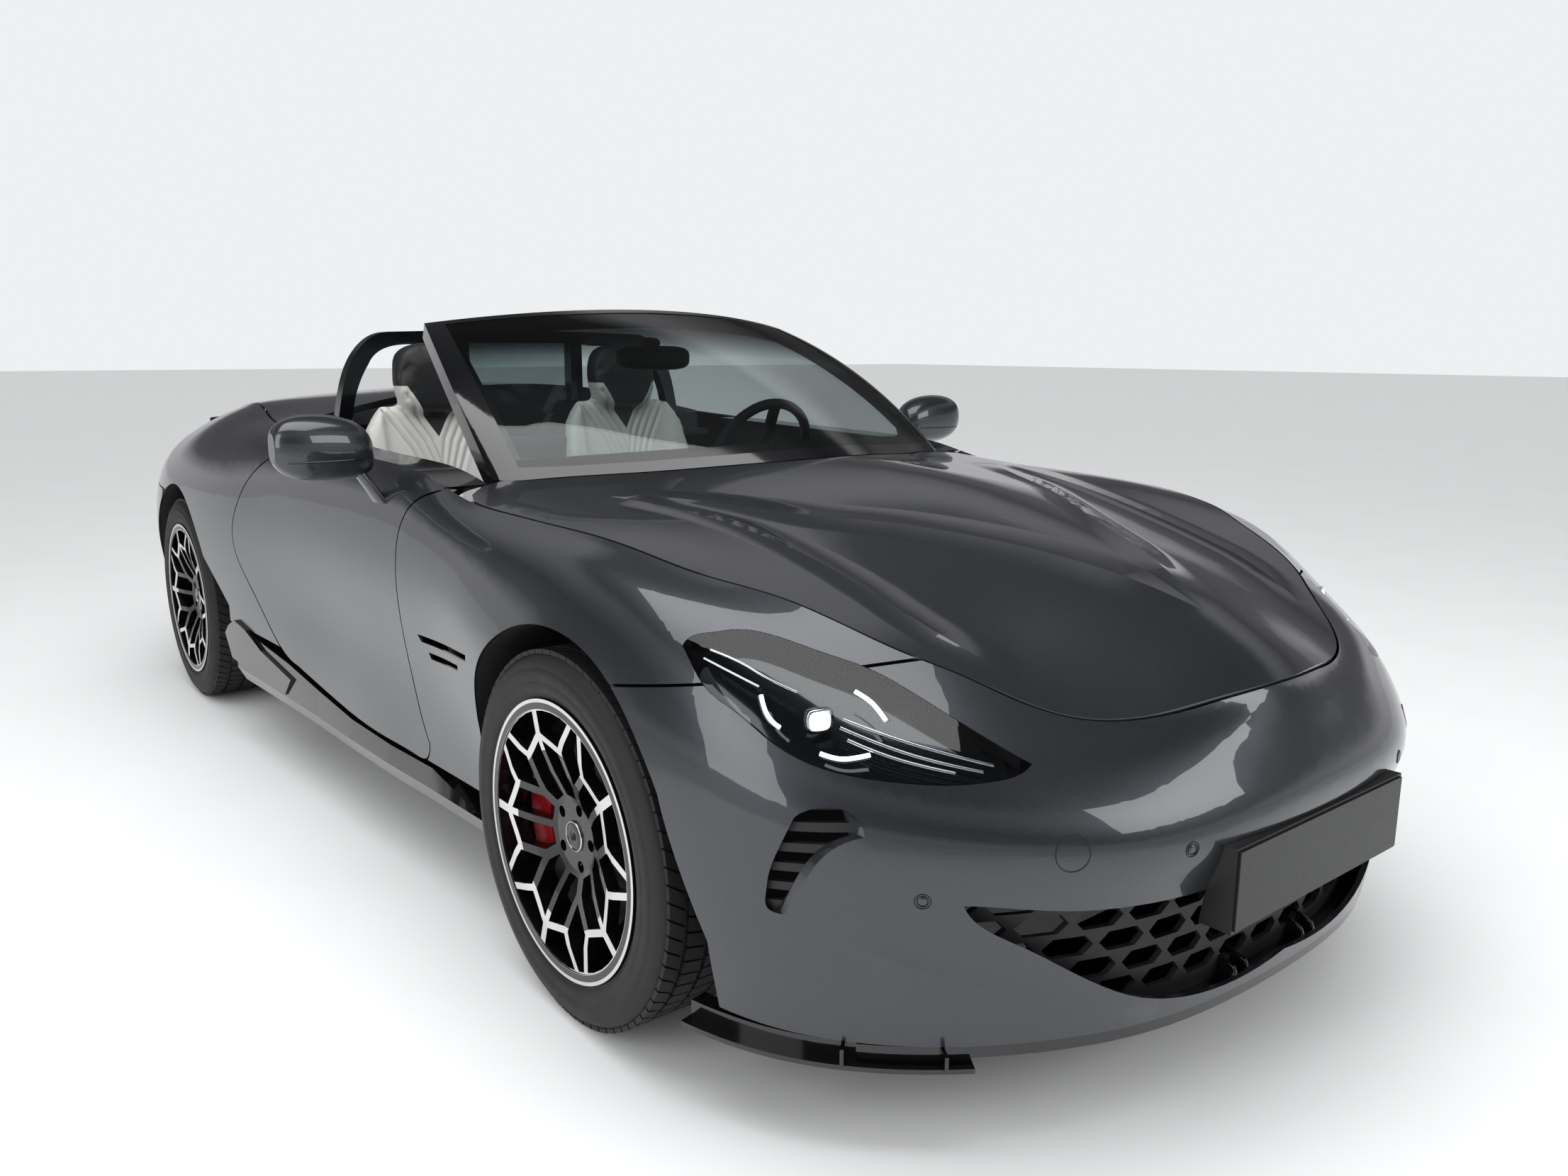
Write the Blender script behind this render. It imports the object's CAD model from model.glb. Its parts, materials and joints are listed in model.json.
"""Looks of a two-seat roadster convertible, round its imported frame. Lengths are millimetres unless said."""

import functools
import json
import math

import bmesh
import bpy
import numpy as np
from mathutils import Matrix, Vector
from mathutils.bvhtree import BVHTree


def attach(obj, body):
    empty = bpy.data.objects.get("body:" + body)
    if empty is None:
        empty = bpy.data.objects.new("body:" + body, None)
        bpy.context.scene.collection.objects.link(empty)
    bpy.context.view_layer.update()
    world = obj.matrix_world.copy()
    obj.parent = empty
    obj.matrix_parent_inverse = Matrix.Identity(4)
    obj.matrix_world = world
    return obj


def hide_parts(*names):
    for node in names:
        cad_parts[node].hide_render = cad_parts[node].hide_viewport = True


bl_info = {
    "name": "Roadster convertible looks",
    "version": (1, 0, 0),
    "blender": (4, 5, 0),
    "location": "3D View > Sidebar > Roadster",
    "description": "Finishes a two-seat roadster convertible round its packed frame",
    "category": "Object",
}

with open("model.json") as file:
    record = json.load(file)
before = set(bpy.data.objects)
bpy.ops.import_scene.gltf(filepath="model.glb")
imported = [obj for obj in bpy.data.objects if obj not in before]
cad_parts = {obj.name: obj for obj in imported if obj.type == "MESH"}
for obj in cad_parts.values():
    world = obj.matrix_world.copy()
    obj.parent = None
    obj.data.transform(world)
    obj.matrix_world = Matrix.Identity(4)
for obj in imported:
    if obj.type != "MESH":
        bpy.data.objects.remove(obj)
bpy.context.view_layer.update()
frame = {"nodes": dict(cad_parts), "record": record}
MM = 0.001
FRONT_AXLE = -1317.5
REAR_AXLE = 1372.5
AXLE_HEIGHT = 350
SEAT_CENTRE = 345
SAME_POINT = 2e-6
WHEELS = (("front", FRONT_AXLE, 802, 244), ("rear", REAR_AXLE, 803, 270))
LOOKS = {}


# Settings that a user changes
def number(name, what, value, low=0.0, **more):
    return bpy.props.FloatProperty(name=name, description=what, default=value, min=low, **more)


def colour(name, what, value):
    return bpy.props.FloatVectorProperty(name=name, description=what, subtype="COLOR", size=3, min=0, max=1,
                                         default=value)


class BodySettings(bpy.types.PropertyGroup):
    paint: colour("Paint", "Basecoat colour of the body panels", (0.040, 0.043, 0.050))
    flake: number("Flake size", "Size of a metal flake in the paint, in metres", 0.0006, subtype="DISTANCE")
    brightness: number("Lamp brightness", "Glow of the lit running lamps", 3.0)


class WheelSettings(bpy.types.PropertyGroup):
    blocks: bpy.props.IntProperty(name="Tread blocks", description="Blocks round one rib of the tread",
                                  default=74, min=12, max=160)
    tread: number("Tread depth", "Depth of the grooves between the ribs", 0.0065, subtype="DISTANCE")
    calliper: colour("Calliper", "Enamel on the brake callipers", (0.22, 0.005, 0.007))


class CabinSettings(bpy.types.PropertyGroup):
    leather: colour("Seat leather", "Pale leather of the seats", (0.47, 0.47, 0.45))
    stitch: number("Stitch pitch", "Distance from one stitch to the next", 0.006, 0.002, subtype="DISTANCE")
    channel: number("Channel depth", "Depth of the sewn channels in the seats", 0.006, subtype="DISTANCE")
    swell: number("Swell limit", "Most that the padding swells", 0.008, subtype="DISTANCE")


class StageSettings(bpy.types.PropertyGroup):
    lamp: number("Lamp power", "Power of the large softbox overhead, in watts", 130.0, subtype="POWER")
    sky: number("Sky level", "Even light from all round", 0.85)
    lens: number("Lens", "Focal length on a 36 mm sensor", 27.29, 1.0)


# Colour and materials
def linear(code):
    """An sRGB hex colour as linear RGBA."""
    parts = [int(code[k:k + 2], 16) / 255 for k in (1, 3, 5)]
    return tuple(c / 12.92 if c <= 0.04045 else ((c + 0.055) / 1.055) ** 2.4 for c in parts) + (1.0,)


def scaled(paint, factor):
    return tuple(min(1.0, c * factor) for c in paint) + (1.0,)


def add_node(tree, kind, inputs=None, **settings):
    """Adds a node with its settings; an input takes a plain value, another node's output or a wire."""
    node = tree.nodes.new(kind)
    for name, value in settings.items():
        setattr(node, name, value)
    for key, value in (inputs or {}).items():
        source = getattr(value, "socket", value)
        if isinstance(source, bpy.types.NodeSocket):
            tree.links.new(source, node.inputs[key])
        else:
            node.inputs[key].default_value = value
    return node


class Wire:
    """A number inside a node tree, on which arithmetic can be written out."""

    def __init__(self, tree, socket):
        self.tree = tree
        self.socket = socket

    def step(self, operation, *others):
        terms = dict(enumerate((self,) + others))
        return Wire(self.tree, add_node(self.tree, "ShaderNodeMath", terms, operation=operation).outputs[0])

    def __rsub__(self, other):
        return Wire(self.tree, add_node(self.tree, "ShaderNodeMath", {0: other, 1: self},
                                        operation="SUBTRACT").outputs[0])


SIGNS = {"__add__": "ADD", "__sub__": "SUBTRACT", "__mul__": "MULTIPLY", "__truediv__": "DIVIDE",
         "__pow__": "POWER", "__gt__": "GREATER_THAN", "__lt__": "LESS_THAN", "__abs__": "ABSOLUTE"}
for sign, operation in SIGNS.items():
    setattr(Wire, sign, functools.partialmethod(Wire.step, operation))


def place_wires(tree, output="Object"):
    """X, Y and Z of a place on the piece, or of its normal or the sky's direction."""
    place = add_node(tree, "ShaderNodeTexCoord")
    axes = add_node(tree, "ShaderNodeSeparateXYZ", {"Vector": place.outputs[output]})
    return [Wire(tree, socket) for socket in axes.outputs]


def surface(name, low, high, pattern, cell, roughness, depth=0.0, strength=0.4, **shader):
    """A finish whose colour, roughness and relief follow one pattern; cell and depth are in millimetres."""
    kind, output, values = pattern
    material = bpy.data.materials.new(name)
    material.use_nodes = True
    tree = material.node_tree
    principled = tree.nodes["Principled BSDF"]
    for key, value in shader.items():
        principled.inputs[key].default_value = value
    place = add_node(tree, "ShaderNodeTexCoord")
    texture = add_node(tree, kind, {"Vector": place.outputs["Object"], "Scale": 1 / MM / cell, **values})
    ramp = add_node(tree, "ShaderNodeValToRGB", {"Fac": texture.outputs[output]})
    for stop, shade in zip(ramp.color_ramp.elements, (low, high)):
        stop.color = linear(shade) if isinstance(shade, str) else shade
    tree.links.new(ramp.outputs["Color"], principled.inputs["Base Color"])
    gloss = add_node(tree, "ShaderNodeMapRange", {"Value": texture.outputs[output], "To Min": roughness[0],
                                                  "To Max": roughness[1]})
    tree.links.new(gloss.outputs["Result"], principled.inputs["Roughness"])
    if depth:
        relief = add_node(tree, "ShaderNodeBump", {"Height": texture.outputs[output], "Distance": depth * MM,
                                                   "Strength": strength})
        tree.links.new(relief.outputs["Normal"], principled.inputs["Normal"])
    LOOKS[name] = material
    return material


NOISE = ("ShaderNodeTexNoise", "Fac", {"Detail": 4.0})
FINE = ("ShaderNodeTexNoise", "Fac", {"Detail": 1.0})
CELLS = ("ShaderNodeTexVoronoi", "Distance", {"Randomness": 1.0})
FLAKES = ("ShaderNodeTexVoronoi", "Color", {"Randomness": 1.0})
FLUTES = ("ShaderNodeTexWave", "Fac", {})
FACE_SHINE = 0.035
EDGE_SHINE = 0.5


def glass(name, tint, edge=None):
    """Thin clear glazing: a transparent body under a clean reflection, and what edge prints on it."""
    material = bpy.data.materials.new(name)
    material.use_nodes = True
    tree = material.node_tree
    tree.nodes.remove(tree.nodes["Principled BSDF"])
    clear = add_node(tree, "ShaderNodeBsdfTransparent", {"Color": linear(tint)})
    place = add_node(tree, "ShaderNodeTexCoord")
    waves = add_node(tree, "ShaderNodeTexNoise", {"Vector": place.outputs["Object"], "Scale": 9.0,
                                                  "Detail": 1.0})
    relief = add_node(tree, "ShaderNodeBump", {"Height": waves.outputs["Fac"], "Distance": 0.0004,
                                               "Strength": 0.2})
    gloss = add_node(tree, "ShaderNodeBsdfGlossy", {"Normal": relief.outputs["Normal"], "Roughness": 0.01,
                                                    "Color": (1, 1, 1, 1)})
    slant = Wire(tree, add_node(tree, "ShaderNodeLayerWeight", {"Blend": 0.5}).outputs["Facing"])
    mix = add_node(tree, "ShaderNodeMixShader", {0: slant ** 4.0 * EDGE_SHINE + FACE_SHINE,
                                                 1: clear.outputs["BSDF"], 2: gloss.outputs["BSDF"]})
    if edge:
        mix = edge(tree, clear, mix)
    tree.links.new(mix.outputs["Shader"], tree.nodes["Material Output"].inputs["Surface"])
    LOOKS[name] = material


def screen_bands(tree, clear, mix):
    """The shade along the bowed head of the screen and the black border printed along its foot."""
    head_bow, foot_rise, foot_height, border = 0.085, 0.068, 0.997, 0.02
    across, _, up = place_wires(tree)
    shade = add_node(tree, "ShaderNodeMapRange", {"Value": up + across * across * head_bow, "From Min": 1.20,
                                                  "From Max": 1.27})
    tint = add_node(tree, "ShaderNodeValToRGB", {"Fac": shade.outputs["Result"]})
    for stop, code in zip(tint.color_ramp.elements, ("#cfd6d6", "#6d7376")):
        stop.color = linear(code)
    tree.links.new(tint.outputs["Color"], clear.inputs["Color"])
    rise = up + abs(across) * foot_rise - foot_height
    ink = add_node(tree, "ShaderNodeBsdfPrincipled", {"Base Color": linear("#08090a"), "Roughness": 0.1})
    return add_node(tree, "ShaderNodeMixShader", {0: rise < border, 1: mix.outputs["Shader"],
                                                  2: ink.outputs["BSDF"]})


def masked(name, base, over, mask):
    """A copy of a finish with a second one over it where the mask is one."""
    material = base.copy()
    material.name = name
    tree = material.node_tree
    shown = tree.nodes["Material Output"].inputs["Surface"]
    second = add_node(tree, "ShaderNodeBsdfPrincipled", over)
    mix = add_node(tree, "ShaderNodeMixShader", {0: mask(tree), 1: shown.links[0].from_socket,
                                                 2: second.outputs["BSDF"]})
    tree.links.new(mix.outputs["Shader"], shown)
    LOOKS[name] = material
    return material


def axle_radius(tree):
    """The distances from the car's middle plane and from the nearer axle."""
    across, along, up = place_wires(tree)
    along = abs(along - (FRONT_AXLE + REAR_AXLE) / 2 * MM) - (REAR_AXLE - FRONT_AXLE) / 2 * MM
    up = up - AXLE_HEIGHT * MM
    return abs(across), (along * along + up * up).step("SQRT")


def bright_face(tree):
    """The outer faces of the arms, stems and rim arcs, which the lathe cuts back to bare metal."""
    arms_from, arms_to, groove, groove_half = 0.166, 0.2615, 0.2487, 0.0062
    across, radius = axle_radius(tree)
    facing = abs(place_wires(tree, "Normal")[0]) > 0.8
    return (facing * (across > 0.872) * (radius > arms_from) * (radius < arms_to)
            * (abs(radius - groove) > groove_half))


def disc_face(tree):
    """The brake disc, which is one solid with its wheel."""
    across, radius = axle_radius(tree)
    return (across < 0.861) * (radius < 0.1775)


def calliper_part(tree):
    """The calliper, which is one solid with its upright."""
    across, radius = axle_radius(tree)
    return (across > 0.808) * (radius > 0.094) * (radius < 0.21)


def pale_leather(tree):
    """Everything but the black head rest, the wedge below it and the back of the seat."""
    wedge_tip, wedge_slope, head_foot = 0.945, 0.62, 1.105
    across, _, up = place_wires(tree)
    wedge = (up - wedge_tip) * wedge_slope > abs(abs(across) - SEAT_CENTRE * MM)
    behind = place_wires(tree, "Normal")[1] > 0.35
    return 1.0 - wedge.step("MAXIMUM", up > head_foot).step("MAXIMUM", behind)


# Pressed lines of a panel: the points of each (run, place across the panel), its flank and height in metres
BONNET_LINES = (
    ([(-2011, 5), (-1840, 85), (-1679, 161), (-1520, 255), (-1367, 364), (-1200, 452), (-1030, 546)],
     0.085, 0.011),
    ([(-1960, 446), (-1802, 492), (-1670, 499), (-1546, 506), (-1400, 521), (-1270, 544), (-1001, 606)],
     0.06, 0.009))
NOSE_LINES = (([(330, 200), (430, 228), (517, 259), (599, 287), (691, 322), (771, 362)], 0.042, 0.006),)


def pressed_lines(name, lines, run, across):
    """A copy of the lacquer with a panel's pressed lines under both the basecoat and the clear coat."""
    material = LOOKS["metallic_lacquer"].copy()
    material.name = name
    tree = material.node_tree
    shader = tree.nodes["Principled BSDF"]
    ways = dict(zip("XYZ", place_wires(tree)))
    ways["X"] = abs(ways["X"])
    total = 0.0
    for line, flank, height in lines:
        first, last = line[0][0] * MM, line[-1][0] * MM
        along = Wire(tree, add_node(tree, "ShaderNodeMapRange", {"Value": ways[run], "From Min": first,
                                                                 "From Max": last}).outputs["Result"])
        path = add_node(tree, "ShaderNodeFloatCurve", {"Value": along})
        curve = path.mapping.curves[0]
        stops = [((at * MM - first) / (last - first), place * MM) for at, place in line]
        curve.points[0].location, curve.points[-1].location = stops[0], stops[-1]
        for stop in stops[1:-1]:
            curve.points.new(*stop)
        path.mapping.update()
        off = abs(ways[across] - Wire(tree, path.outputs["Value"]))
        tent = (1.0 - off / flank).step("MAXIMUM", 0.0)
        fade = (along * (1.0 - along) * 9.0).step("MINIMUM", 1.0)
        total = tent ** 1.6 * (fade * height) + total
    relief = add_node(tree, "ShaderNodeBump", {"Height": total, "Distance": 1.0, "Strength": 1.0})
    flakes = shader.inputs["Normal"].links[0].from_node
    tree.links.new(relief.outputs["Normal"], flakes.inputs["Normal"])
    tree.links.new(relief.outputs["Normal"], shader.inputs["Coat Normal"])
    LOOKS[name] = material


def body_materials(scene):
    body = scene.roadster_body
    paint = tuple(body.paint)
    # Dark metallic lacquer: sparkle of flakes under a mirror-clear coat
    surface("metallic_lacquer", scaled(paint, 0.75), scaled(paint, 1.35), FLAKES, body.flake / MM,
            (0.30, 0.40), 0.02, 0.08, Metallic=0.8, **{"Coat Weight": 1.0, "Coat Roughness": 0.02})
    pressed_lines("bonnet_metallic_lacquer", BONNET_LINES, "Y", "X")
    pressed_lines("nose_metallic_lacquer", NOSE_LINES, "X", "Z")
    # Polished ABS: piano black with a little orange peel
    surface("polished_black_abs", "#060708", "#0b0c0e", FINE, 5, (0.06, 0.12), 0.02, 0.2,
            **{"Coat Weight": 0.5, "Coat Roughness": 0.03})
    # Grained polypropylene: dull black trim with pebble grain
    surface("grained_polypropylene", "#121314", "#1c1d1f", CELLS, 1.6, (0.5, 0.66), 0.15)
    # Dip-coated steel: satin dark grey, slightly mottled
    surface("dip_coated_steel", "#26282a", "#36383b", NOISE, 30, (0.4, 0.55), 0.1)
    # Extruded aluminium: pale satin metal of the battery tray
    surface("extruded_aluminium", "#7d8083", "#a0a3a6", NOISE, 12, (0.32, 0.45), 0.05, Metallic=0.9)
    # Acrylic plate: smooth satin black
    surface("blank_plate_acrylic", "#08090a", "#0d0e0f", FINE, 8, (0.35, 0.45), 0.02)


def wheel_materials(scene):
    # Sand-cast aluminium: coarse grey skin of uprights and arms
    cast = surface("sand_cast_aluminium", "#66696c", "#8c8f92", NOISE, 3, (0.4, 0.6), 0.3, Metallic=0.8)
    # Enamelled calliper: smooth red gloss beside the coarse casting
    enamel = {"Base Color": tuple(scene.roadster_wheels.calliper) + (1.0,), "Roughness": 0.3,
              "Coat Weight": 0.6}
    masked("upright_and_calliper", cast, enamel, calliper_part)
    # Black wheel enamel: deep gloss over cast metal
    black = surface("black_wheel_enamel", "#050507", "#0a0b0d", FINE, 6, (0.2, 0.3), 0.03, 0.3,
                    **{"Coat Weight": 0.2, "Coat Roughness": 0.1})
    # Grey iron beside the enamelled wheel: dull turned disc
    iron = masked("wheel_and_iron_disc", black, {"Base Color": linear("#37383a"), "Metallic": 1.0,
                                                 "Roughness": 0.42}, disc_face)
    # Diamond-turned aluminium: bright cut faces under lacquer
    masked("diamond_turned_wheel", iron, {"Base Color": linear("#dcdbd7"), "Metallic": 1.0, "Roughness": 0.24,
                                          "Coat Weight": 0.4}, bright_face)
    # Vulcanised rubber: near-black, dull, a little dusty
    surface("tyre_rubber", "#0e0e0f", "#18181a", NOISE, 40, (0.55, 0.75), 0.3)
    # Extruded rubber: finer and more even than the tyre
    surface("rubber_seal", "#0c0c0d", "#131314", FINE, 4, (0.55, 0.7), 0.05)


def cabin_materials(scene):
    # Grained black leather: pebbles with darker creases
    surface("black_grained_leather", "#0c0d0e", "#1d1f21", CELLS, 2.2, (0.42, 0.6), 0.3,
            **{"Sheen Weight": 0.05})
    # Pale and black leather on one cover: both keep the same grain
    seat = surface("seat_leather", "#0e0f10", "#1c1d20", CELLS, 2.4, (0.45, 0.6), 0.3)
    pale = {"Base Color": tuple(scene.roadster_cabin.leather) + (1.0,), "Roughness": 0.48,
            "Sheen Weight": 0.1}
    masked("two_tone_seat_leather", seat, pale, pale_leather)
    # Loop carpet: matt fibres
    surface("loop_carpet", "#0d0e0f", "#232527", NOISE, 1.8, (0.9, 1.0), 0.8, 0.6)
    # Polyester thread: pale grey, slightly fuzzy
    surface("pale_thread", "#8e8d89", "#b8b6b0", NOISE, 1.0, (0.7, 0.85), 0.1)
    # Cover glass of the display: black and even, faintly blue
    surface("display_glass", "#07080b", "#10131a", FINE, 300, (0.05, 0.08), **{"Coat Weight": 0.6})


def lamp_and_glass_materials(scene):
    # Acrylic red lens: deep gloss with fine flutes
    surface("red_acrylic", "#4c0205", "#8c090f", FLUTES, 60, (0.05, 0.12),
            **{"Coat Weight": 1.0, "Emission Color": linear("#7a0308"), "Emission Strength": 0.25})
    # Plated plastic: bright and dark chrome with a satin haze
    surface("satin_chrome", "#b9bcbf", "#d6d8da", NOISE, 20, (0.14, 0.24), Metallic=1.0)
    surface("dark_chrome", "#55585c", "#6c6f74", NOISE, 20, (0.16, 0.26), Metallic=1.0)
    # Silvered glass: a clean mirror
    surface("silvered_mirror", "#dfe3e6", "#e6eaec", FINE, 60, (0.01, 0.03), Metallic=1.0)
    # Lit acrylic light guide: an even white glow
    surface("lit_light_guide", "#eef4ff", "#ffffff", FINE, 3, (0.3, 0.4),
            **{"Emission Color": linear("#eaf1ff"), "Emission Strength": scene.roadster_body.brightness})
    # Laminated glass: greenish, shaded at its head and bordered at its foot
    glass("laminated_screen", "#cfd6d6", screen_bands)
    # Clear polycarbonate: colourless lamp lens
    glass("clear_polycarbonate", "#eef1f3")


# Mesh making
def placed(name, data):
    """A new object in the scene that holds a mesh, curve, lamp or camera."""
    made = bpy.data.objects.new(name, data)
    bpy.context.collection.objects.link(made)
    return made


def new_piece(name, points, faces, materials, smooth=True):
    mesh = bpy.data.meshes.new(name)
    mesh.from_pydata([tuple(p) for p in points], [], [tuple(f) for f in faces])
    for material in materials:
        mesh.materials.append(LOOKS[material])
    if smooth:
        mesh.shade_smooth()
    return placed(name, mesh)


def merged(mesh, distance, outward=False):
    """Merges the points of a mesh that lie within a distance, in metres; may turn its faces outwards."""
    work = bmesh.new()
    work.from_mesh(mesh)
    bmesh.ops.remove_doubles(work, verts=work.verts, dist=distance)
    if outward:
        bmesh.ops.recalc_face_normals(work, faces=work.faces)
    work.to_mesh(mesh)
    work.free()


def cleaned(piece):
    merged(piece.data, 1e-5, outward=True)
    return piece


def evaluated(piece):
    graph = bpy.context.evaluated_depsgraph_get()
    return bpy.data.meshes.new_from_object(piece.evaluated_get(graph), depsgraph=graph)


def applied(piece):
    """The piece with its modifiers made part of its mesh."""
    made = evaluated(piece)
    piece.modifiers.clear()
    piece.data = made
    return piece


def softened(piece, width):
    """The piece with its edges rounded by a width in millimetres."""
    modifier = piece.modifiers.new("soft", "BEVEL")
    modifier.width = width * MM
    modifier.segments = 2
    modifier.limit_method = "ANGLE"
    modifier.angle_limit = math.radians(32)
    applied(piece)
    piece.data.shade_smooth()
    piece.data.set_sharp_from_angle(angle=math.radians(40))
    return piece


def mirrored(piece, name):
    """A copy across the car's middle plane, its faces turned outwards again."""
    mesh = piece.data.copy()
    mesh.transform(Matrix.Diagonal((-1, 1, 1, 1)))
    mesh.flip_normals()
    return placed(name, mesh)


def carried(piece, body, slot, *replaced):
    """Rides a body with a material slot; may stand for frame nodes."""
    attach(piece, body)
    if replaced:
        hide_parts(*replaced)
    return piece


def joined(name, pieces):
    """Several pieces as one."""
    bpy.ops.object.select_all(action="DESELECT")
    for piece in pieces:
        piece.select_set(True)
    bpy.context.view_layer.objects.active = pieces[0]
    bpy.ops.object.join()
    pieces[0].name = name
    return pieces[0]


def loft(name, rings, material, caps=True):
    """A skin through closed rings of equal count, in millimetres."""
    n = len(rings[0])
    points = [[c * MM for c in p] for ring in rings for p in ring]
    faces = [(k * n + i, k * n + (i + 1) % n, (k + 1) * n + (i + 1) % n, (k + 1) * n + i)
             for k in range(len(rings) - 1) for i in range(n)]
    if caps:
        faces += [tuple(reversed(range(n))), tuple(range((len(rings) - 1) * n, len(rings) * n))]
    return cleaned(new_piece(name, points, faces, [material]))


def rounded(count, across, up, start=0.0):
    """Places round a unit box with rounded corners; lower powers are squarer."""
    turns = [2 * math.pi * (k + start) / count for k in range(count)]
    return [(math.copysign(abs(math.cos(t)) ** across, math.cos(t)),
             math.copysign(abs(math.sin(t)) ** up, math.sin(t))) for t in turns]


def plate(name, outline, low, high, axis, material, bevel):
    """A plate of an outline drawn across an axis, with softened edges."""
    n = len(outline)
    points = []
    for c in (low, high):
        for a, b in outline:
            point = (c, a, b) if axis == "x" else (a, c, b)
            points.append([v * MM for v in point])
    faces = [tuple(range(n)), tuple(range(n, 2 * n))]
    faces += [(i, (i + 1) % n, n + (i + 1) % n, n + i) for i in range(n)]
    return softened(cleaned(new_piece(name, points, faces, [material], smooth=False)), bevel)


def smooth_path(name, points):
    """A curve object along smooth points, in millimetres."""
    curve = bpy.data.curves.new(name + "_path", "CURVE")
    curve.dimensions = "3D"
    spline = curve.splines.new("NURBS")
    spline.points.add(len(points) - 1)
    for knot, p in zip(spline.points, points):
        knot.co = (p[0] * MM, p[1] * MM, p[2] * MM, 1)
    spline.order_u = 3
    spline.use_endpoint_u = True
    return placed(name + "_path", curve)


def bar(name, points, radius, material):
    """A round bar along smooth points, in millimetres."""
    path = smooth_path(name, points)
    path.data.bevel_depth = radius * MM
    path.data.bevel_resolution = 3
    path.data.use_fill_caps = True
    path.data.resolution_u = 5
    mesh = evaluated(path)
    bpy.data.objects.remove(path)
    mesh.materials.clear()
    mesh.materials.append(LOOKS[material])
    mesh.shade_smooth()
    return placed(name, mesh)


def turned(name, profile, axis_x, axle, count, material):
    """A body turned about an axle along X, from a closed profile of (across, radius) in millimetres."""
    n = len(profile)
    points = []
    for k in range(count):
        t = 2 * math.pi * k / count
        points += [((axis_x + a) * MM, (axle + r * math.cos(t)) * MM, (AXLE_HEIGHT + r * math.sin(t)) * MM)
                   for a, r in profile]
    faces = [(k * n + i, k * n + (i + 1) % n, (k + 1) % count * n + (i + 1) % n, (k + 1) % count * n + i)
             for k in range(count) for i in range(n)]
    return cleaned(new_piece(name, points, faces, [material]))


def node_copy(node, name, materials, rule):
    """A merged copy of a frame node that keeps its smooth shading; rule gives each face its material."""
    mesh = frame["nodes"][node].data.copy()
    normals = np.empty(len(mesh.loops) * 3, np.float32)
    mesh.corner_normals.foreach_get("vector", normals)
    mesh.attributes.new("kept", "FLOAT_VECTOR", "CORNER").data.foreach_set("vector", normals)
    merged(mesh, SAME_POINT)
    mesh.materials.clear()
    for material in materials:
        mesh.materials.append(LOOKS[material])
    for face in mesh.polygons:
        face.use_smooth = True
        face.material_index = rule(face.center, face.normal)
    normals = np.empty(len(mesh.loops) * 3, np.float32)
    mesh.attributes["kept"].data.foreach_get("vector", normals)
    mesh.attributes.remove(mesh.attributes["kept"])
    mesh.normals_split_custom_set(normals.reshape(-1, 3).tolist())
    return placed(name, mesh)


def tree_over(*nodes):
    """A tree for finding points on the frame's surfaces."""
    points, faces = [], []
    for node in nodes:
        mesh = frame["nodes"][node].data
        first = len(points)
        points += [v.co.copy() for v in mesh.vertices]
        faces += [[first + i for i in face.vertices] for face in mesh.polygons]
    return BVHTree.FromPolygons(points, faces)


def on_surface(found, point, direction, lift=0.0):
    """The first point of a surface from a point along a direction, in millimetres, lifted off it."""
    hit, normal = found.ray_cast(Vector(point) * MM, Vector(direction).normalized())[:2]
    if hit is None:
        raise RuntimeError("nothing lies under the point %s" % (tuple(point),))
    if normal.dot(Vector(direction)) > 0:
        normal = -normal
    return hit / MM + normal * lift, normal


# The photograph's camera: its place, its turns in degrees and its focal length in pixels of the view
EYE = Vector((-1864.7, -3146.2, 1230.4))
EYE_TURNS = (38.806, 11.5, 0.2465)
EYE_FOCUS = 1676.77
VIEW_MIDDLE = (1106, 829.5)


def eye_axes():
    """Right, up and forward of the camera."""
    yaw, pitch, roll = (math.radians(turn) for turn in EYE_TURNS)
    ahead = Vector((math.sin(yaw) * math.cos(pitch), math.cos(yaw) * math.cos(pitch), -math.sin(pitch)))
    right = Vector((math.cos(yaw), -math.sin(yaw), 0))
    up = right.cross(ahead)
    tilted = math.cos(roll) * right + math.sin(roll) * up
    return tilted, -math.sin(roll) * right + math.cos(roll) * up, ahead


def seen(found, px, py, sink=0.0):
    """The point of a surface seen at a place of the 2212 by 1659 view, sunk below it by millimetres."""
    right, up, ahead = eye_axes()
    way = ahead * EYE_FOCUS + right * (px - VIEW_MIDDLE[0]) - up * (py - VIEW_MIDDLE[1])
    point, normal = on_surface(found, EYE, way)
    return point - normal * sink, normal


# Node trees that repeat shapes
STITCH_SHARE = 0.62


def new_tree(name, inputs):
    """A geometry tree with named inputs; returns the tree, its input node and the inputs' identifiers."""
    tree = bpy.data.node_groups.new(name, "GeometryNodeTree")
    tree.interface.new_socket("Geometry", in_out="OUTPUT", socket_type="NodeSocketGeometry")
    keys = {}
    for label, kind in inputs.items():
        socket = tree.interface.new_socket(label, in_out="INPUT", socket_type="NodeSocket" + kind)
        keys[label] = socket.identifier
    return tree, add_node(tree, "NodeGroupInput"), keys


def finished_tree(tree, given, instances):
    """Ends a tree: its copies are made real and get the given finish."""
    real = add_node(tree, "GeometryNodeRealizeInstances", {"Geometry": instances})
    done = add_node(tree, "GeometryNodeSetMaterial", {"Geometry": real.outputs["Geometry"],
                                                      "Material": given.outputs["Finish"]})
    add_node(tree, "NodeGroupOutput", {"Geometry": done.outputs["Geometry"]})


def grown(piece, tree, keys, values):
    """The piece's mesh as its tree makes it, as a plain mesh."""
    modifier = piece.modifiers.new(tree.name, "NODES")
    modifier.node_group = tree
    for label, value in values.items():
        modifier[keys[label]] = value
    piece.update_tag()
    return applied(piece)


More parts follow.
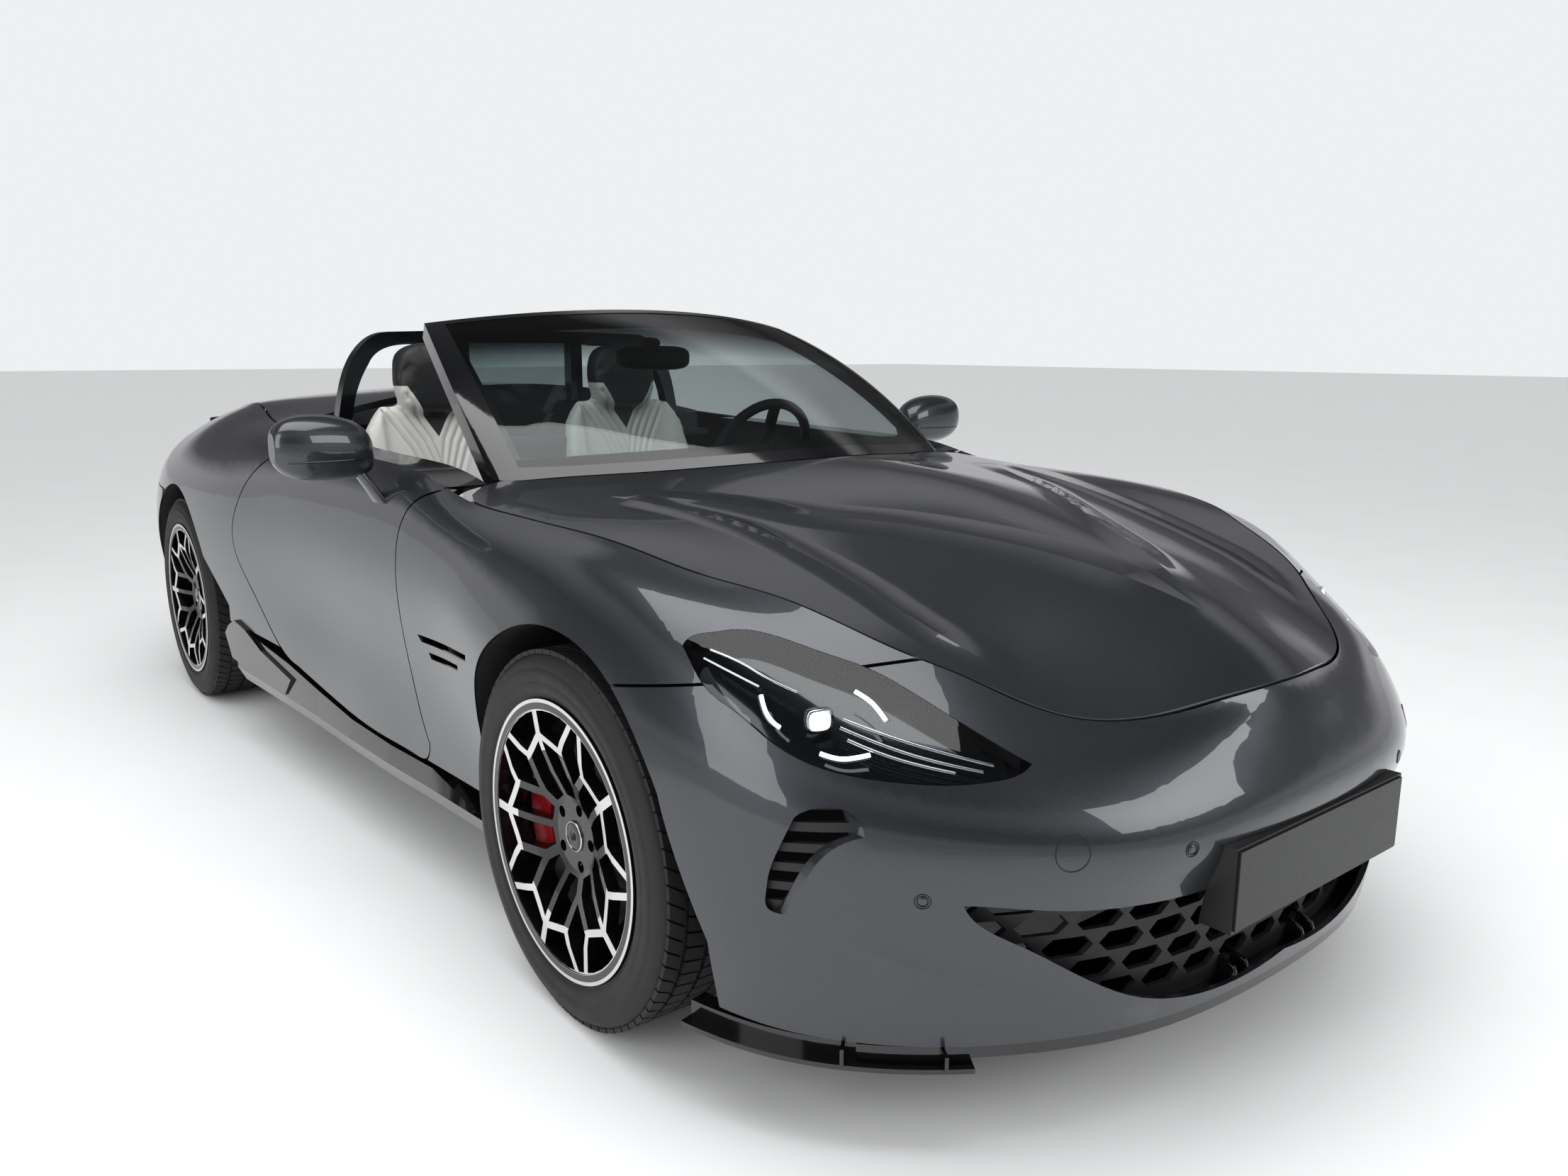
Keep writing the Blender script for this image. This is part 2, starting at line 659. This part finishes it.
def round_axle(name, shape, count, radius, centre, finish):
    """Copies of a shape set at equal turns about an axle along X."""
    tree, given, keys = new_tree("round_axle", {"Shape": "Object", "Count": "Int", "Radius": "Float",
                                                "Centre": "Vector", "Finish": "Material"})
    circle = add_node(tree, "GeometryNodeMeshCircle", {"Vertices": given.outputs["Count"],
                                                       "Radius": given.outputs["Radius"]})
    model = add_node(tree, "GeometryNodeObjectInfo", {"Object": given.outputs["Shape"]})
    place = add_node(tree, "GeometryNodeInputPosition")
    outward = add_node(tree, "FunctionNodeAlignRotationToVector", {"Vector": place.outputs["Position"]},
                       axis="X", pivot_axis="Z")
    copies = add_node(tree, "GeometryNodeInstanceOnPoints",
                      {"Points": circle.outputs["Mesh"], "Instance": model.outputs["Geometry"],
                       "Rotation": outward.outputs["Rotation"]})
    stood = add_node(tree, "GeometryNodeTransform",
                     {"Geometry": copies.outputs["Instances"], "Translation": given.outputs["Centre"],
                      "Rotation": (0, math.pi / 2, 0)})
    finished_tree(tree, given, stood.outputs["Geometry"])
    piece = new_piece(name, [], [], [])
    grown(piece, tree, keys, {"Shape": shape, "Count": count, "Radius": radius * MM,
                              "Centre": [c * MM for c in centre], "Finish": LOOKS[finish]})
    bpy.data.objects.remove(shape)
    return piece


def stitched(name, points, pitch, finish, thread):
    """A row of stitches along smooth points, in millimetres; the pitch is in metres."""
    tree, given, keys = new_tree("stitch_row", {"Path": "Object", "Pitch": "Float", "Thread": "Float",
                                                "Finish": "Material"})
    path = add_node(tree, "GeometryNodeObjectInfo", {"Object": given.outputs["Path"]})
    spaced = add_node(tree, "GeometryNodeCurveToPoints", {"Curve": path.outputs["Geometry"],
                                                          "Length": given.outputs["Pitch"]}, mode="LENGTH")
    length = Wire(tree, given.outputs["Pitch"]) * STITCH_SHARE
    stitch = add_node(tree, "GeometryNodeMeshCylinder", {"Radius": given.outputs["Thread"], "Depth": length,
                                                         "Vertices": 6})
    copies = add_node(tree, "GeometryNodeInstanceOnPoints",
                      {"Points": spaced.outputs["Points"], "Instance": stitch.outputs["Mesh"],
                       "Rotation": spaced.outputs["Rotation"]})
    finished_tree(tree, given, copies.outputs["Instances"])
    carrier = smooth_path(name, points)
    piece = new_piece(name, [], [], [])
    grown(piece, tree, keys, {"Path": carrier, "Pitch": pitch, "Thread": thread * MM,
                              "Finish": LOOKS[finish]})
    bpy.data.objects.remove(carrier)
    return piece


# Pieces
PRESSED_LOOKS = {"bonnet": "bonnet_metallic_lacquer", "front_bumper": "nose_metallic_lacquer"}
SLOT_LOOKS = {
    "body_paint": "metallic_lacquer", "gloss_black": "polished_black_abs",
    "dark_trim": "grained_polypropylene", "structure": "dip_coated_steel",
    "battery_case": "extruded_aluminium", "cast_alloy": "upright_and_calliper",
    "lamp_glass": "clear_polycarbonate", "tail_lamp": "red_acrylic", "screen_glass": "laminated_screen",
    "plate_black": "blank_plate_acrylic", "dash_leather": "black_grained_leather",
    "steering_leather": "black_grained_leather", "seat_leather": "two_tone_seat_leather",
    "boot_lining": "loop_carpet", "wheel_alloy": "diamond_turned_wheel", "tyre_rubber": "tyre_rubber"}


def body_finishes():
    """Every frame node gets the finish of its slot."""
    slots = {row["node"]: row["material_slot"] for row in frame["record"]["subparts"]}
    for name, piece in frame["nodes"].items():
        look = PRESSED_LOOKS.get(name, SLOT_LOOKS[slots[name]])
        if not piece.data.materials:
            piece.data.materials.append(LOOKS[look])
        for holder in piece.material_slots:
            holder.link = "OBJECT"
            holder.material = LOOKS[look]


# The studio: its half size in metres, its sky as glossy surfaces see it (height, level) and its lamps
FLOOR_HALF = 60
SKY_BANDS = ((0.07, 0.55), (0.15, 0.10), (0.30, 0.05), (0.46, 0.32), (0.53, 0.36), (0.62, 0.06), (0.86, 0.05))
LAMPS = (("overhead", (-1.0, -1.0, 4.2), (4.5, 3.0), 1.0), ("side", (-5.0, -2.0, 2.4), (2.2, 3.2), 0.55),
         ("front", (1.8, -6.0, 2.8), (3.2, 1.6), 0.5))


def studio_world(scene):
    """An even sky that gloss sees as soft bands, and the camera as a pale wall."""
    world = bpy.data.worlds.new("studio")
    scene.world = world
    world.use_nodes = True
    tree = world.node_tree
    tree.nodes.clear()
    ray = add_node(tree, "ShaderNodeLightPath")
    bands = add_node(tree, "ShaderNodeValToRGB", {"Fac": place_wires(tree, "Generated")[2]})
    stops = bands.color_ramp.elements
    stops[0].position, stops[0].color = 0.0, (0.45, 0.45, 0.47, 1)
    stops[1].position, stops[1].color = 1.0, (0.20, 0.20, 0.21, 1)
    for height, level in SKY_BANDS:
        stops.new(height).color = (level, level, level * 1.03, 1)
    sky = scene.roadster_stage.sky
    plain = add_node(tree, "ShaderNodeBackground", {"Color": (1, 1, 1, 1), "Strength": sky})
    room = add_node(tree, "ShaderNodeBackground", {"Color": bands.outputs["Color"], "Strength": 1.1})
    wall = add_node(tree, "ShaderNodeBackground", {"Color": linear("#eef0f1"), "Strength": 1.0})
    unseen = add_node(tree, "ShaderNodeMixShader", {0: ray.outputs["Is Glossy Ray"], 1: plain.outputs[0],
                                                    2: room.outputs[0]})
    shown = Wire(tree, ray.outputs["Is Camera Ray"]).step("MAXIMUM", ray.outputs["Is Transmission Ray"])
    final = add_node(tree, "ShaderNodeMixShader", {0: shown, 1: unseen.outputs[0], 2: wall.outputs[0]})
    add_node(tree, "ShaderNodeOutputWorld", {"Surface": final.outputs[0]})


def stage(scene):
    """The pale floor, the sky, three softboxes and the photograph's camera."""
    # Painted studio floor: pale and matt
    surface("stage_floor", "#e3e4e5", "#e8e9ea", NOISE, 400, (0.75, 0.85))
    corners = [(-FLOOR_HALF, -FLOOR_HALF, 0), (FLOOR_HALF, -FLOOR_HALF, 0), (FLOOR_HALF, FLOOR_HALF, 0),
               (-FLOOR_HALF, FLOOR_HALF, 0)]
    new_piece("floor", corners, [(0, 1, 2, 3)], ["stage_floor"], smooth=False)
    studio_world(scene)
    for name, spot, size, share in LAMPS:
        lamp = bpy.data.lights.new(name, "AREA")
        lamp.shape = "RECTANGLE"
        lamp.size, lamp.size_y = size
        lamp.energy = scene.roadster_stage.lamp * share
        holder = placed(name, lamp)
        holder.location = spot
        holder.rotation_euler = (Vector((0, 0, 0.6)) - Vector(spot)).to_track_quat("-Z", "Y").to_euler()
    right, up, ahead = eye_axes()
    camera = bpy.data.cameras.new("camera")
    camera.lens = scene.roadster_stage.lens
    camera.sensor_width = 36
    camera.clip_end = 200
    holder = placed("camera", camera)
    holder.matrix_world = Matrix.Translation(EYE * MM) @ Matrix((right, up, -ahead)).transposed().to_4x4()
    scene.camera = holder
    scene.view_settings.view_transform = "Standard"


def tyre_skin(name, half, axis_x, axle, tread):
    """A tyre's carcass with a rounded shoulder, rim guard and wear ring; its ribs are laid on it after."""
    outer = AXLE_HEIGHT - tread
    profile = [(-half + 22, 257), (-half + 12, 259), (-half + 8, 266), (-half + 9, 269), (-half + 4, 273),
               (-half + 3, 281), (-half + 1, 292), (-half + 1.6, 293.2), (-half + 1.0, 296), (-half, 306),
               (-half + 1.5, 316), (-half + 2.6, 317), (-half + 2.8, 320), (-half + 6, 330),
               (-half + 12, 337), (-half + 20, outer - 1), (-half * 0.5, outer), (0, outer)]
    profile += [(-a, r) for a, r in reversed(profile[:-1])]
    profile += [(half - 24, 257.5), (-half + 24, 257.5)]
    return turned(name, profile, axis_x, axle, 128, "tyre_rubber")


# Ribs of the tread: the edges of each as shares of the half width, and its lean as a share of the pitch
RIBS = ((-0.86, -0.60, 0.34), (-0.54, -0.22, 0.16), (-0.16, 0.16, 0.0), (0.22, 0.54, -0.16),
        (0.60, 0.86, -0.34))


def tread_block(half, tread, count):
    """One pitch of tread across all the ribs: radial along X, tangential along Y, axle along Z."""
    pitch = 2 * math.pi * AXLE_HEIGHT / count
    sink, crown, flare, reach = 2, 0.2, 0.6, 0.43 * pitch
    points, faces = [], []
    for low, high, share in RIBS:
        lean = share * pitch
        first = len(points)
        for x, grow in ((-tread - sink, 0), (-crown, -flare)):
            for z, shift in ((low * half - grow, -lean), (high * half + grow, lean)):
                for y in (-reach, reach):
                    points.append((x * MM, (y + shift) * MM, z * MM))
        for face in ((4, 5, 7, 6), (0, 1, 5, 4), (2, 6, 7, 3), (0, 4, 6, 2), (1, 3, 7, 5)):
            faces.append([first + i for i in face])
    return new_piece("tread_pitch", points, faces, [])


def tyres(scene):
    """Treaded tyres in place of the frame's plain ones."""
    settings = scene.roadster_wheels
    tread = settings.tread / MM
    for end, axle, across, width in WHEELS:
        half = width / 2
        skin = tyre_skin("tyre_skin", half, across, axle, tread)
        block = tread_block(half, tread, settings.blocks)
        ribs = round_axle("tyre_ribs", block, settings.blocks, AXLE_HEIGHT, (across, axle, AXLE_HEIGHT),
                          "tyre_rubber")
        ribs.data.shade_flat()
        left = joined("tyre_%s_left_tread" % end, [skin, ribs])
        right = mirrored(left, "tyre_%s_right_tread" % end)
        for hand, piece in (("left", left), ("right", right)):
            carried(piece, "wheel_%s_%s" % (end, hand), "tyre_rubber", "tyre_%s_%s" % (end, hand))


CAP = ((-1.5, 0.2), (4.2, 0.2), (4.0, 16), (3.0, 25), (0.5, 28.4), (-1.5, 28.4))
CAP_RING = ((-1.0, 26.6), (3.6, 26.4), (4.4, 27.2), (3.4, 29), (-1.0, 29.4))


def hex_bolt():
    """A wheel bolt head, its axis along Z."""
    points = []
    for z, r in ((-6, 8.6), (3, 8.6), (5, 7.4)):
        points += [(r * math.cos(k * math.pi / 3) * MM, r * math.sin(k * math.pi / 3) * MM, z * MM)
                   for k in range(6)]
    faces = [(k * 6 + i, k * 6 + (i + 1) % 6, k * 6 + 6 + (i + 1) % 6, k * 6 + 6 + i) for k in (0, 1)
             for i in range(6)] + [tuple(range(12, 18))]
    return new_piece("bolt", points, faces, [])


def wheel_fittings():
    """Five bolts, a plain centre cap and its bright ring on each wheel."""
    for end, axle, across, width in WHEELS:
        hub = across + width / 2 - 42
        bolts = round_axle("bolts", hex_bolt(), 5, 57, (hub - 10, axle, AXLE_HEIGHT), "dark_chrome")
        bolts.data.shade_flat()
        cap = turned("cap", CAP, hub, axle, 40, "black_wheel_enamel")
        ring = turned("cap_ring", CAP_RING, hub, axle, 48, "satin_chrome")
        left = joined("wheel_%s_left_fittings" % end, [bolts, cap, ring])
        right = mirrored(left, "wheel_%s_right_fittings" % end)
        for hand, piece in (("left", left), ("right", right)):
            carried(piece, "wheel_%s_%s" % (end, hand), "wheel_alloy")


def both_sides(piece, name, body, slot):
    """The piece on the car's right with its mirror image on the left."""
    piece.name = name + "_right"
    other = mirrored(piece, name + "_left")
    for one in (piece, other):
        carried(one, body, slot)


# Places in the 2212 by 1659 view: light guides with the side on which each has its rim, then reflector ribs
LAMP_GUIDES = (([(1073, 978), (1075.5, 992), (1082, 1009), (1092, 1020), (1099, 1024)], (-5, 0)),
               ([(1207, 971), (1224, 980.5), (1239, 995), (1250.5, 1012)], (5, 0)),
               ([(1156, 1061), (1174, 1067.5), (1199, 1069), (1228, 1062)], (0, 5)))
LAMP_RIBS = (([(1190, 1010), (1240, 1030), (1330, 1058), (1405, 1076)], 12, 3.2),
             ([(1186, 1022), (1235, 1044), (1320, 1072), (1390, 1086)], 12, 3.2),
             ([(1196, 1040), (1236, 1058), (1300, 1078), (1350, 1088)], 12, 3.2),
             ([(1000, 912), (1040, 926), (1085, 955), (1125, 972)], 11, 2.4),
             ([(990, 925), (1030, 945), (1070, 965)], 11, 2.4))
PROJECTOR = (1156, 1011)
PROJECTOR_PARTS = (("projector_box", 24, (-6, 0), "polished_black_abs"),
                   ("projector_frame", 21, (-4, 2), "satin_chrome"),
                   ("projector_lens", 17, (-2, 4), "lit_light_guide"))


def projector(found):
    """The boxed projector of a lamp: its case, frame and lens."""
    middle = seen(found, *PROJECTOR, 14)[0]
    ahead = Vector((-0.32, -0.94, 0.05)).normalized()
    side = ahead.cross(Vector((0, 0, 1))).normalized()
    up = side.cross(ahead)
    parts = []
    for name, size, (back, front), look in PROJECTOR_PARTS:
        rings = [[middle + ahead * depth + side * (size * grow * c) + up * (size * 0.86 * grow * s)
                  for c, s in rounded(24, 0.6, 0.6, 0.5)]
                 for depth, grow in ((back, 1.0), (front, 1.0), (front + 1.5, 0.86))]
        parts.append(loft(name, rings, look))
    return parts


def head_lamps():
    """Clear lenses over black bowls, each with a boxed projector, three light guides and bright ribs."""
    def rule(centre, normal):
        out = Vector((math.copysign(0.55, centre.x), -0.6, 0.6))
        return 0 if normal.dot(out) > 0.35 else 1
    lens = node_copy("headlamps", "headlamp_glass", ["clear_polycarbonate", "polished_black_abs"], rule)
    carried(lens, "body", "lamp_glass", "headlamps")
    found = tree_over("headlamps")
    parts = []
    for line, (right, down) in LAMP_GUIDES:
        points = [seen(found, px, py, 9)[0] for px, py in line]
        parts.append(bar("light_guide", points, 3.4, "lit_light_guide"))
        points = [seen(found, px + right, py + down, 10)[0] for px, py in line]
        parts.append(bar("guide_rim", points, 2.2, "dark_chrome"))
    parts += projector(found)
    for line, sink, radius in LAMP_RIBS:
        points = [seen(found, px, py, sink)[0] for px, py in line]
        parts.append(bar("reflector_rib", points, radius, "satin_chrome"))
    both_sides(joined("headlamp_inside", parts), "headlamp_inside", "body", "lamp_glass")


def nose_axes(centre):
    """Outward, sideways and up at a point of the nose."""
    out = Vector((centre[0], centre[1] + 1400, 0)).normalized()
    side = out.cross(Vector((0, 0, 1))).normalized()
    return out, side, side.cross(out)


def laid_ring(found, centre, radius, lift, count):
    """Points lying on the nose round a centre, in millimetres."""
    out, side, up = nose_axes(centre)
    points = []
    for k in range(count):
        t = 2 * math.pi * k / count
        start = Vector(centre) + side * radius * math.cos(t) + up * radius * math.sin(t) + out * 60
        points.append(on_surface(found, start, -out, lift)[0])
    return points


def ring_on(found, name, centre, radius, thread, material, lift):
    """A thin ring lying on the nose about a point."""
    points = laid_ring(found, centre, radius, lift, 32)
    return bar(name, points + points[:1], thread, material)


def disc_on(found, name, centre, radius, material, lift):
    """A thin cap lying on the nose about a point."""
    rings = [laid_ring(found, centre, radius * share, rise, 24)
             for share, rise in ((1.0, -0.5), (0.96, lift), (0.5, lift + 0.5), (0.02, lift + 0.6))]
    return loft(name, rings, material, caps=False)


def nose_details():
    """Tow-eye covers, parking sensors and splitter fins."""
    found = tree_over("front_bumper")
    for name, spot, radius in (("tow_cover", (-524, -2152, 509), 27),
                               ("outer_sensor", (-704, -2027, 441), 12),
                               ("inner_sensor", (-335, -2228, 491), 12)):
        parts = [ring_on(found, name, spot, radius, 0.9, "rubber_seal", 0.2)]
        if radius < 20:
            parts.append(disc_on(found, name + "_eye", spot, radius - 4.0, "metallic_lacquer", 0.6))
            parts.append(ring_on(found, name + "_rim", spot, radius - 3.4, 0.7, "polished_black_abs", 0.6))
        both_sides(joined(name, parts), name, "body", "body_paint")
    fins = [plate("fin", [(-2210, 186), (-2152, 184), (-2150, 232), (-2196, 214)], x - 4, x + 4, "x",
                  "polished_black_abs", 1.0) for x in (-128, -92, 92, 128)]
    carried(joined("splitter_fins", fins), "body", "gloss_black")


def wing_mirrors():
    """Silvered glass in a black gasket on the back of each mirror, with a black strip along its front."""
    found = tree_over("mirror_left")
    middle_x, middle_z, outline = 984, 997, rounded(32, 0.8, 0.8)
    rings = [[(middle_x + 96 * grow * c, y, middle_z + 56 * grow * s) for c, s in outline]
             for y, grow in ((-319, 1.0), (-315.5, 1.0), (-315, 0.93))]
    gasket = loft("gasket", rings, "rubber_seal")
    rings = [[(middle_x + 88 * c, y, middle_z + 50 * s) for c, s in outline] for y in (-318, -314.6)]
    silver = loft("silver", rings, "silvered_mirror")
    line = [on_surface(found, (x, -600, 972 - (x - 905) * 0.01), (0, 1, 0), 0.4)[0]
            for x in range(905, 1071, 15)]
    left = joined("mirror_left_details", [gasket, silver, bar("strip", line, 2.2, "polished_black_abs")])
    right = mirrored(left, "mirror_right_details")
    carried(left, "door_left", "gloss_black")
    carried(right, "door_right", "gloss_black")


def doors():
    """Door panels lined with black leather inside, with a gloss black capping along the top."""
    for hand, sign in (("left", 1), ("right", -1)):
        def rule(centre, normal):
            if normal.z > 0.72 and centre.z > 0.925:
                return 2
            return 1 if normal.x * sign < -0.3 and abs(centre.x) < 0.86 else 0
        piece = node_copy("door_" + hand, "door_%s_trimmed" % hand,
                          ["metallic_lacquer", "black_grained_leather", "polished_black_abs"], rule)
        carried(piece, "door_" + hand, "body_paint", "door_" + hand)


CLOTH_FRAMES = 12


def channel_lines():
    """The sewn lines down each shoulder of a seat: (offset, height) pairs from the seat's centre."""
    return [[(100 + 26 * k, 1078 - 9 * k), (58 + 25 * k, 1006 - 9 * k), (20 + 23 * k, 938 - 10 * k),
             (2 + 18 * k, 872 - 12 * k), (1 + 12 * k, 790 - 8 * k)] for k in range(4)]


def even_skin(name, node, look):
    """A node's form as an even, rounded mesh, a little smaller so that it has room to swell."""
    mesh = frame["nodes"][node].data.copy()
    mesh.materials.clear()
    mesh.materials.append(LOOKS[look])
    merged(mesh, SAME_POINT)
    piece = placed(name, mesh)
    even = piece.modifiers.new("even", "REMESH")
    even.mode = "VOXEL"
    even.voxel_size = 0.008
    applied(piece)
    smooth = piece.modifiers.new("round", "SMOOTH")
    smooth.factor = 0.6
    smooth.iterations = 9
    applied(piece)
    for v in piece.data.vertices:
        v.co -= v.normal * 0.004
    return piece


def swollen(piece, scene, limit):
    """The piece blown up as cloth, no point by more than the limit, in metres."""
    start = [v.co.copy() for v in piece.data.vertices]
    cloth = piece.modifiers.new("padding", "CLOTH")
    cloth.settings.use_pressure = True
    cloth.settings.uniform_pressure_force = 4.0
    cloth.settings.effector_weights.gravity = 0.0
    cloth.settings.quality = 3
    for step in range(1, CLOTH_FRAMES + 1):
        scene.frame_set(step)
    blown = evaluated(piece)
    for v, moved, rest in zip(piece.data.vertices, blown.vertices, start):
        way = moved.co - rest
        v.co = rest + (way if way.length < limit else way.normalized() * limit)
    piece.modifiers.clear()
    scene.frame_set(1)


def sewn(seat, depth):
    """Sinks the sewn channels into the front of the seat's back, each between two soft lips."""
    lines = [[Vector(p) for p in line] for line in channel_lines()]
    channel, lip, lip_width, reach, foot = 4.5, 14, 6, 20, 0.72
    for v in seat.data.vertices:
        if v.normal.y > -0.2 or v.co.z < foot:
            continue
        spot = Vector((abs(v.co.x / MM - SEAT_CENTRE), v.co.z / MM))
        near = 99.0
        for line in lines:
            for a, b in zip(line, line[1:]):
                run = b - a
                share = max(0.0, min(1.0, (spot - a).dot(run) / run.length_squared))
                near = min(near, (spot - a - run * share).length)
        if near < reach:
            sunk = math.exp(-(near / channel) ** 2) - 0.25 * math.exp(-((near - lip) / lip_width) ** 2)
            v.co -= v.normal * depth * sunk
    seat.data.update()


def seat_rows(seat, pitch):
    """Rows of stitches along the channels of a seat."""
    faces = [list(face.vertices) for face in seat.data.polygons]
    skin = BVHTree.FromPolygons([v.co.copy() for v in seat.data.vertices], faces)
    rows = []
    for line in channel_lines():
        for side in (-1, 1):
            path = []
            for (off, height), (next_off, next_height) in zip(line, line[1:]):
                for k in range(4):
                    x = SEAT_CENTRE + side * (off + (next_off - off) * k / 4)
                    z = height + (next_height - height) * k / 4
                    hit, normal = skin.ray_cast(Vector((x, -100, z)) * MM, Vector((0, 1, 0)))[:2]
                    if hit is not None:
                        path.append((hit + normal * 0.0006) / MM)
            if len(path) > 3:
                rows.append(stitched("seat_row", path, pitch, "pale_thread", 0.8))
    return rows


def seats(scene):
    """Padded seats: the frame's seat form, swollen as cloth, then sewn."""
    settings = scene.roadster_cabin
    seat = even_skin("seat_left_padded", "seat_left", "two_tone_seat_leather")
    swollen(seat, scene, settings.swell)
    finer = seat.modifiers.new("finer", "SUBSURF")
    finer.levels = finer.render_levels = 1
    applied(seat)
    seat.data.shade_smooth()
    sewn(seat, settings.channel)
    other = mirrored(seat, "seat_right_padded")
    for piece, node in ((seat, "seat_left"), (other, "seat_right")):
        carried(piece, "body", "seat_leather", node)
    left = joined("seat_left_stitches", seat_rows(seat, settings.stitch))
    right = mirrored(left, "seat_right_stitches")
    carried(left, "body", "seat_leather")
    carried(right, "body", "seat_leather")


def cabin(scene):
    """The centre display, the mirror and the dashboard's stitching."""
    dash = tree_over("dashboard")
    path = [on_surface(dash, (x, -560, 1400), (0, 0, -1), 0.5)[0] for x in range(-640, 641, 40)]
    row = stitched("dashboard_stitches", path, scene.roadster_cabin.stitch, "pale_thread", 0.7)
    carried(row, "body", "dash_leather")
    pane = plate("pane", [(-60, 786), (205, 786), (215, 796), (215, 876), (205, 886), (-60, 886), (-70, 876),
                          (-70, 796)], -527, -512, "y", "display_glass", 1.5)
    rim = plate("rim", [(-68, 780), (212, 780), (222, 792), (222, 882), (212, 892), (-68, 892), (-78, 882),
                        (-78, 792)], -531, -515, "y", "grained_polypropylene", 1.5)
    carried(joined("centre_display", [pane, rim]), "body", "dash_leather")
    head = [[(26 * c * grow, y, 1238 + 16 * s * grow) for c, s in rounded(20, 1, 1)]
            for y, grow in ((-232, 0.9), (-205, 1.0))]
    middle = 1196
    shell = [[(118 * grow * c, y, middle + 34 * grow * s) for c, s in rounded(28, 0.5, 0.6, 0.5)]
             for y, grow in ((-262, 0.5), (-256, 0.86), (-240, 1.0), (-222, 1.0), (-218, 0.95))]
    silver = [[(x * 0.9, y, middle + (z - middle) * 0.86) for x, _, z in shell[3]] for y in (-219, -216.5)]
    parts = [loft("stem", head, "grained_polypropylene"), loft("housing", shell, "grained_polypropylene"),
             loft("silver", silver, "silvered_mirror")]
    carried(joined("cabin_mirror", parts), "body", "dark_trim")


# Operators, one for each group of pieces
class ROADSTER_OT_stage(bpy.types.Operator):
    """Sets the floor, the lamps, the world and the camera"""
    bl_idname = "roadster.stage"
    bl_label = "Stage"

    def execute(self, context):
        stage(context.scene)
        return {"FINISHED"}


class ROADSTER_OT_finishes(bpy.types.Operator):
    """Makes the materials and gives every frame node its own"""
    bl_idname = "roadster.finishes"
    bl_label = "Finishes"

    def execute(self, context):
        for make in (body_materials, wheel_materials, cabin_materials, lamp_and_glass_materials):
            make(context.scene)
        body_finishes()
        return {"FINISHED"}


class ROADSTER_OT_tyres(bpy.types.Operator):
    """Replaces the tyres with treaded ones"""
    bl_idname = "roadster.tyres"
    bl_label = "Tyres"

    def execute(self, context):
        tyres(context.scene)
        return {"FINISHED"}


class ROADSTER_OT_wheel_fittings(bpy.types.Operator):
    """Adds wheel bolts and centre caps"""
    bl_idname = "roadster.wheel_fittings"
    bl_label = "Wheel fittings"

    def execute(self, context):
        wheel_fittings()
        return {"FINISHED"}


class ROADSTER_OT_headlamps(bpy.types.Operator):
    """Opens the headlamps and fills them"""
    bl_idname = "roadster.headlamps"
    bl_label = "Headlamps"

    def execute(self, context):
        head_lamps()
        return {"FINISHED"}


class ROADSTER_OT_nose(bpy.types.Operator):
    """Adds the cover, sensors and fins of the nose"""
    bl_idname = "roadster.nose"
    bl_label = "Nose details"

    def execute(self, context):
        nose_details()
        return {"FINISHED"}


class ROADSTER_OT_mirrors(bpy.types.Operator):
    """Adds the glass and strips of the door mirrors"""
    bl_idname = "roadster.mirrors"
    bl_label = "Door mirrors"

    def execute(self, context):
        wing_mirrors()
        return {"FINISHED"}


class ROADSTER_OT_doors(bpy.types.Operator):
    """Lines the doors"""
    bl_idname = "roadster.doors"
    bl_label = "Doors"

    def execute(self, context):
        doors()
        return {"FINISHED"}


class ROADSTER_OT_seats(bpy.types.Operator):
    """Pads and sews the seats"""
    bl_idname = "roadster.seats"
    bl_label = "Seats"

    def execute(self, context):
        seats(context.scene)
        return {"FINISHED"}


class ROADSTER_OT_cabin(bpy.types.Operator):
    """Adds the displays, mirror and stitching of the cabin"""
    bl_idname = "roadster.cabin"
    bl_label = "Cabin"

    def execute(self, context):
        cabin(context.scene)
        return {"FINISHED"}


class ROADSTER_PT_pieces(bpy.types.Panel):
    bl_idname = "ROADSTER_PT_pieces"
    bl_label = "Roadster"
    bl_space_type = "VIEW_3D"
    bl_region_type = "UI"
    bl_category = "Roadster"

    def draw(self, context):
        column = self.layout.column(align=True)
        for operator in OPERATORS:
            column.operator(operator.bl_idname)
        for name, group in GROUPS.items():
            for key in group.__annotations__:
                column.prop(getattr(context.scene, name), key)


GROUPS = {"roadster_body": BodySettings, "roadster_wheels": WheelSettings, "roadster_cabin": CabinSettings,
          "roadster_stage": StageSettings}
OPERATORS = (ROADSTER_OT_finishes, ROADSTER_OT_stage, ROADSTER_OT_tyres, ROADSTER_OT_wheel_fittings,
             ROADSTER_OT_headlamps, ROADSTER_OT_nose, ROADSTER_OT_mirrors, ROADSTER_OT_doors,
             ROADSTER_OT_seats, ROADSTER_OT_cabin)


def register():
    for group in GROUPS.values():
        bpy.utils.register_class(group)
    for operator in OPERATORS:
        bpy.utils.register_class(operator)
    bpy.utils.register_class(ROADSTER_PT_pieces)
    for name, group in GROUPS.items():
        setattr(bpy.types.Scene, name, bpy.props.PointerProperty(type=group))


def unregister():
    for name in GROUPS:
        delattr(bpy.types.Scene, name)
    bpy.utils.unregister_class(ROADSTER_PT_pieces)
    for kind in tuple(reversed(OPERATORS)) + tuple(GROUPS.values()):
        bpy.utils.unregister_class(kind)


def main():
    register()
    for operator in OPERATORS:
        name = operator.bl_idname.split(".")[1]
        getattr(bpy.ops.roadster, name)()


if __name__ == "__main__":
    main()
